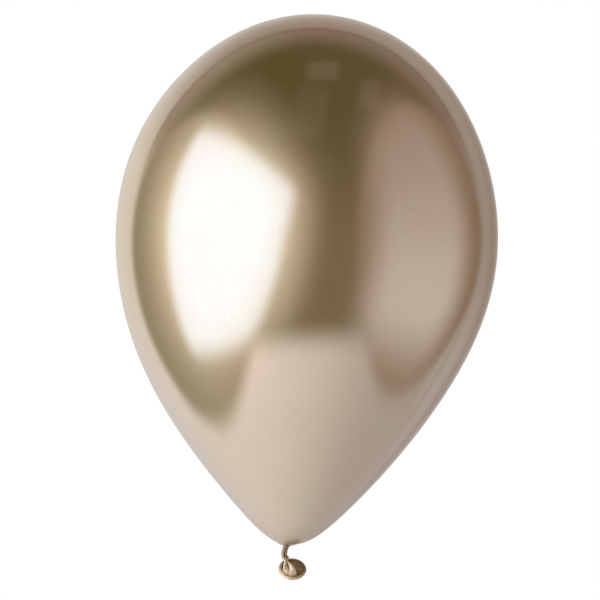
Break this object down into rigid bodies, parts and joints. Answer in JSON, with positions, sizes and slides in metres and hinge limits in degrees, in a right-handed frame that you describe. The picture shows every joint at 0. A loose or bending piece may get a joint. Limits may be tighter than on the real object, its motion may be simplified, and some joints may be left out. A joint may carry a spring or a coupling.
{
  "type": "latex balloon",
  "caption": "Inflated teardrop party balloon in metallic latex, closed by a knot tied in its own neck, with a pleated tail and a rolled lip.",
  "frame": {"origin": "centre of the throat, where the inflated envelope ends and the tied neck begins", "axes": "+Z along the balloon's axis from the neck to the crown, -Y towards the neck side of the mouth's rolled lip, +X to the side the mouth hangs on"},
  "size_m": [0.2998, 0.2998, 0.4443],
  "materials": {
    "inflated_latex": "stretched metallic latex, mirror-like champagne gold with a soft satin base",
    "slack_latex": "unstretched metallic latex, deeper bronze gold, wrinkled"
  },
  "bodies": {
    "envelope": {"envelope": "inflated_latex", "neck_gather": "slack_latex"},
    "neck": {"neck_stem": "slack_latex"},
    "knot": {"knot_core": "slack_latex", "knot_wrap": "slack_latex"},
    "mouth": {"mouth_skirt": "slack_latex", "rolled_lip": "slack_latex"}
  },
  "joints": [
    {"name": "neck_twist", "type": "hinge", "parent": "envelope", "child": "neck", "pos_m": [0, 0, 0], "axis": [0, 0, 1], "range_deg": [-90, 90], "stiffness_Nm_per_rad": 0.0001},
    {"name": "neck_swing", "type": "hinge", "parent": "neck", "child": "knot", "pos_m": [-0.0009, 0, -0.0043], "axis": [0, 1, 0], "range_deg": [-35, 35], "stiffness_Nm_per_rad": 0.00015},
    {"name": "mouth_flop", "type": "hinge", "parent": "knot", "child": "mouth", "pos_m": [-0.0002, 0, -0.0114], "axis": [1, 0, 0], "range_deg": [-45, 35], "stiffness_Nm_per_rad": 0.00015}
  ]
}
